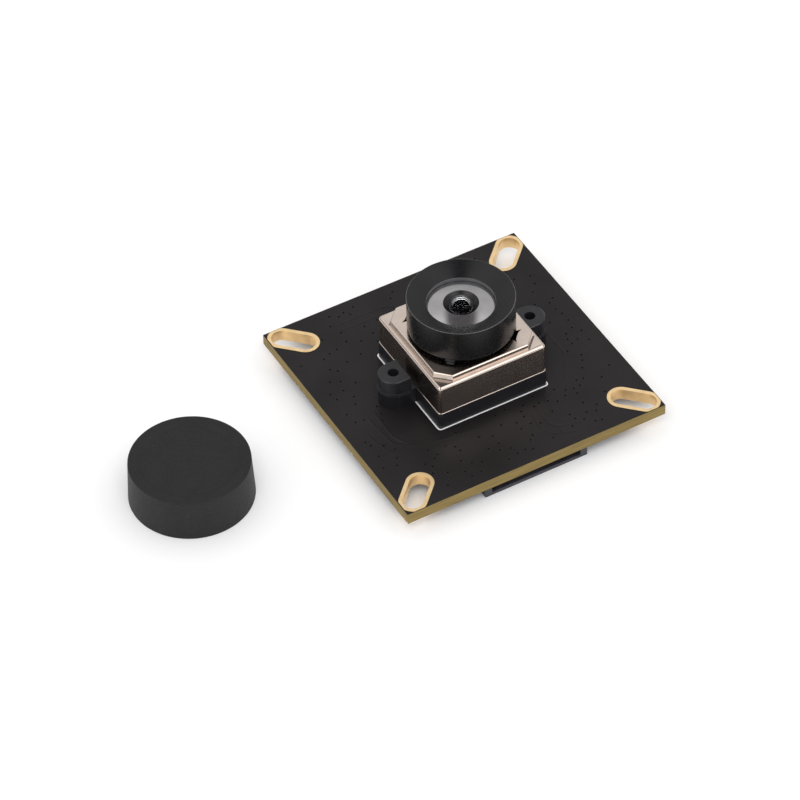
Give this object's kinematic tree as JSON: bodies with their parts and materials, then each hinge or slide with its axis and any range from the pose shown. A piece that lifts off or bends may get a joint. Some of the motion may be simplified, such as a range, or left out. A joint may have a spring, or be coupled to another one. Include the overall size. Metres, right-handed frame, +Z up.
{
  "type": "autofocus camera module",
  "caption": "Small autofocus camera module: square board with plated slots, lens holder, metal motor can, wide-headed lens and flat-cable connector, with its push-on lens cap beside it.",
  "frame": {"origin": "middle of the mounting slot pattern, on the board's underside, where it seats on stand-offs", "axes": "+Z up the optical axis towards the lens, -Y towards the flat-cable connector, -X towards the loose lens cap"},
  "size_m": [0.0661, 0.038, 0.0164],
  "materials": {
    "solder_mask": "satin",
    "gold": "satin",
    "black_plastic": "satin",
    "blackened_steel": "satin",
    "ceramic": "matt",
    "silicon": "gloss",
    "clear_glass": "polished",
    "filter_glass": "polished",
    "spring_metal": "satin",
    "copper": "satin",
    "magnet": "satin",
    "nickel_silver": "satin",
    "black_anodised": "satin",
    "connector_black": "satin",
    "connector_grey": "satin",
    "chip_black": "matt",
    "tantalum_yellow": "satin",
    "capacitor_tan": "satin",
    "cap_rubber": "matt"
  },
  "bodies": {
    "module": {"board": "solder_mask", "slot_ring_1": "gold", "slot_ring_2": "gold", "slot_ring_3": "gold", "slot_ring_4": "gold", "lens_holder": "black_plastic", "holder_screws": "blackened_steel", "sensor_package": "ceramic", "sensor_die": "silicon", "sensor_glass": "clear_glass", "ir_filter": "filter_glass", "motor_base": "black_plastic", "lower_spring": "spring_metal", "motor_magnet_1": "magnet", "motor_magnet_2": "magnet", "motor_magnet_3": "magnet", "motor_magnet_4": "magnet", "upper_spring": "spring_metal", "motor_top_spacer": "black_plastic", "motor_terminal_1": "gold", "motor_terminal_2": "gold", "motor_can": "nickel_silver", "ffc_contacts": "gold", "ffc_housing": "connector_black", "ffc_anchor_1": "gold", "ffc_anchor_2": "gold", "regulator_1": "chip_black", "regulator_2": "chip_black", "regulator_3": "chip_black", "motor_driver": "chip_black", "memory_chip": "chip_black", "oscillator": "nickel_silver", "tantalum_1": "tantalum_yellow", "tantalum_2": "tantalum_yellow", "ferrite_beads": "ceramic", "capacitors": "capacitor_tan", "resistors": "chip_black", "lens_cap": "cap_rubber"},
    "focus_unit": {"lens_carrier": "black_plastic", "motor_coil": "copper", "lens_barrel": "black_anodised", "front_element": "clear_glass", "front_spacer": "black_anodised", "second_element": "clear_glass", "aperture_stop": "black_anodised", "third_element": "clear_glass", "rear_spacer": "black_anodised", "rear_element": "clear_glass", "rear_retainer": "black_anodised"},
    "cable_lock": {"ffc_slider": "connector_grey"}
  },
  "joints": [
    {"name": "focus", "type": "slide", "parent": "module", "child": "focus_unit", "axis": [0, 0, 1], "range_m": [0, 0.0003], "stiffness_N_per_m": 150, "springref_m": -0.0002, "deforming": ["lower_spring", "upper_spring"]},
    {"name": "cable_lock_slide", "type": "slide", "parent": "module", "child": "cable_lock", "axis": [0, -1, 0], "range_m": [0, 0.001]}
  ]
}
